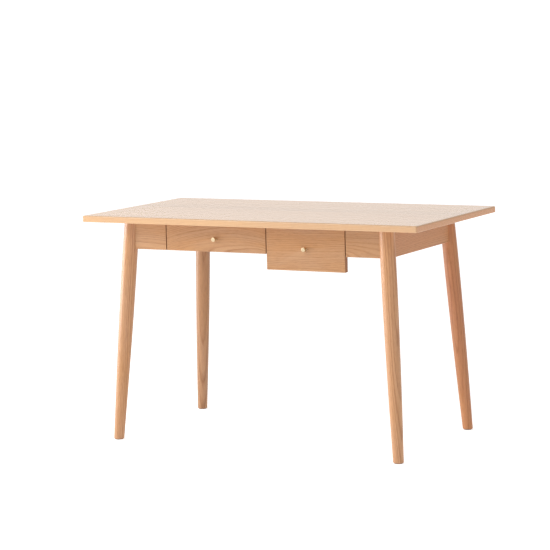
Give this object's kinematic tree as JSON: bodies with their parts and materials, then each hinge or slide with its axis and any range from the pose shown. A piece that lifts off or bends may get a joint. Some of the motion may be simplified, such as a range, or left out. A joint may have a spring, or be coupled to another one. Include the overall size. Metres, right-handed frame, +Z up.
{
  "type": "writing desk",
  "caption": "Oak writing desk with a thin flat top, round splayed legs, a low apron and drawers with small brass knobs, one shallow and one with a deeper front.",
  "frame": {"origin": "on the floor, under the centre of the tabletop", "axes": "+X along the desk to the user's right, -Y towards the user (the drawers pull out along -Y), +Z up"},
  "size_m": [1.2, 0.65, 0.75],
  "materials": {
    "oak_top": "fine-sanded oak under a matt oil, pale and slightly sheened",
    "oak_legs": "turned oak under a matt oil, golden with brown streaks along its length",
    "oak_apron": "planed oak under a matt oil, grain along the rail",
    "oak_fronts": "planed oak under a matt oil, grain across the drawer",
    "inner_rails": "planed poplar, unfinished",
    "runner_oak": "planed oak, waxed",
    "drawer_box": "sanded paulownia, unfinished",
    "drawer_plywood": "birch plywood, clear-sealed",
    "knob_brass": "turned brass, fine-brushed and lacquered",
    "zinc_steel": "bright zinc plate",
    "felt": "dense pressed wool felt"
  },
  "bodies": {
    "frame": {"tabletop": "oak_top", "leg_front_left": "oak_legs", "leg_front_right": "oak_legs", "leg_rear_left": "oak_legs", "leg_rear_right": "oak_legs", "foot_pads": "felt", "side_rail_left": "oak_apron", "side_rail_right": "oak_apron", "rear_rail": "oak_apron", "front_panel_left": "oak_apron", "front_panel_right": "oak_apron", "front_stretcher": "inner_rails", "divider_left": "inner_rails", "divider_centre": "inner_rails", "divider_right": "inner_rails", "corner_block_front_left": "inner_rails", "corner_block_front_right": "inner_rails", "corner_block_rear_left": "inner_rails", "corner_block_rear_right": "inner_rails", "hanger_bolts": "zinc_steel", "hanger_washers": "zinc_steel", "hanger_nuts": "zinc_steel", "corner_block_screws": "zinc_steel", "tabletop_buttons": "inner_rails", "button_screws": "zinc_steel", "stretcher_screws": "zinc_steel", "runner_left_outer": "runner_oak", "runner_left_inner": "runner_oak", "runner_right_inner": "runner_oak", "runner_right_outer": "runner_oak", "runner_screws": "zinc_steel", "drawer_bumpers": "felt"},
    "left_drawer": {"left_drawer_front": "oak_fronts", "left_drawer_inner_front": "drawer_box", "left_drawer_side_left": "drawer_box", "left_drawer_side_right": "drawer_box", "left_drawer_back": "drawer_box", "left_drawer_bottom": "drawer_plywood", "left_drawer_stop": "runner_oak", "left_drawer_knob": "knob_brass", "left_drawer_knob_screw": "zinc_steel", "left_drawer_screws": "zinc_steel", "left_drawer_dowels": "runner_oak"},
    "right_drawer": {"right_drawer_front": "oak_fronts", "right_drawer_inner_front": "drawer_box", "right_drawer_side_left": "drawer_box", "right_drawer_side_right": "drawer_box", "right_drawer_back": "drawer_box", "right_drawer_bottom": "drawer_plywood", "right_drawer_stop": "runner_oak", "right_drawer_knob": "knob_brass", "right_drawer_knob_screw": "zinc_steel", "right_drawer_screws": "zinc_steel", "right_drawer_dowels": "runner_oak"}
  },
  "joints": [
    {"name": "left_drawer_slide", "type": "slide", "parent": "frame", "child": "left_drawer", "axis": [0, -1, 0], "range_m": [0, 0.3]},
    {"name": "right_drawer_slide", "type": "slide", "parent": "frame", "child": "right_drawer", "axis": [0, -1, 0], "range_m": [0, 0.3]}
  ]
}
